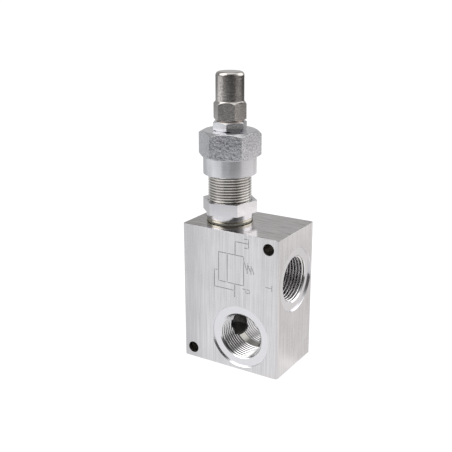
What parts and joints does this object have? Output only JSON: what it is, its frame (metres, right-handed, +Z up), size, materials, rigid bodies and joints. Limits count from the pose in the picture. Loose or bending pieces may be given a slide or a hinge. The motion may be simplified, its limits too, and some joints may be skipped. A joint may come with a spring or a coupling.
{
  "type": "pressure relief valve",
  "caption": "Adjustable hydraulic pressure relief cartridge with a cap nut, screwed upright into an aluminium block with threaded pressure and tank ports.",
  "frame": {"origin": "centre of the block's bottom face, on the plane that it stands on", "axes": "+Z up along the cartridge, +X towards the face with the tank port, -Y towards the front face that carries the pressure port"},
  "size_m": [0.06, 0.04, 0.16],
  "materials": {
    "block_aluminium": "extruded bar, fine lengthwise grain, clear anodised",
    "machined_steel": "turned, bright, light oil film",
    "plated_steel": "hexagon flats lightly pitted, turned faces bright, clear zinc plating",
    "cap_steel": "turned and polished, slightly warm",
    "nut_steel": "ground flats, bright zinc plating",
    "yellow_plated_steel": "pale yellow passivated zinc",
    "hardened_steel": "ground, bright",
    "spring_steel": "drawn wire, dull",
    "copper": "soft annealed copper, matt",
    "black_rubber": "moulded, satin",
    "white_ptfe": "turned PTFE, waxy"
  },
  "bodies": {
    "block": {"valve_block": "block_aluminium", "cartridge_sleeve": "machined_steel", "valve_seat": "hardened_steel", "seat_retaining_ring": "spring_steel", "seat_o_ring": "black_rubber", "nose_o_ring": "black_rubber", "nose_backup_ring": "white_ptfe", "main_spring": "spring_steel", "spring_housing": "plated_steel", "housing_o_ring": "black_rubber", "sleeve_lock_nut": "nut_steel", "mouth_washer": "yellow_plated_steel", "mouth_o_ring": "black_rubber"},
    "poppet": {"poppet": "hardened_steel", "lower_spring_plate": "machined_steel"},
    "upper_plate": {"upper_spring_plate": "machined_steel"},
    "screw": {"adjusting_screw": "machined_steel"},
    "nut_seal": {"lock_nut_seal": "black_rubber"},
    "lock_nut": {"adjuster_lock_nut": "plated_steel"},
    "cap_washer": {"cap_seal_washer": "copper"},
    "cap": {"protective_cap": "cap_steel"}
  },
  "joints": [
    {"name": "poppet_lift", "type": "slide", "parent": "block", "child": "poppet", "axis": [0, 0, 1], "range_m": [0, 0.0025], "stiffness_N_per_m": 450, "springref_m": -0.002, "deforming": ["main_spring"]},
    {"name": "adjuster_travel", "type": "slide", "parent": "block", "child": "upper_plate", "axis": [0, 0, 1], "range_m": [-0.003, 0.0045]},
    {"name": "adjusting_screw_turn", "type": "hinge", "parent": "upper_plate", "child": "screw", "pos_m": [-0.0118, 0, 0.13], "axis": [0, 0, 1], "range_deg": [-720, 1080]},
    {"name": "lock_nut_travel", "type": "slide", "parent": "block", "child": "nut_seal", "axis": [0, 0, 1], "range_m": [0, 0.003]},
    {"name": "lock_nut_turn", "type": "hinge", "parent": "nut_seal", "child": "lock_nut", "pos_m": [-0.0118, 0, 0.13], "axis": [0, 0, 1], "range_deg": [0, 720]},
    {"name": "cap_travel", "type": "slide", "parent": "nut_seal", "child": "cap_washer", "axis": [0, 0, 1], "range_m": [0, 0.015]},
    {"name": "cap_turn", "type": "hinge", "parent": "cap_washer", "child": "cap", "pos_m": [-0.0118, 0, 0.145], "axis": [0, 0, 1], "range_deg": [0, 3600]}
  ],
  "couplings": [
    {"joint": "adjuster_travel", "follows": "adjusting_screw_turn", "m_per_rad": 0.00023873},
    {"joint": "lock_nut_travel", "follows": "lock_nut_turn", "m_per_rad": 0.00023873},
    {"joint": "cap_travel", "follows": "cap_turn", "m_per_rad": 0.00023873}
  ]
}
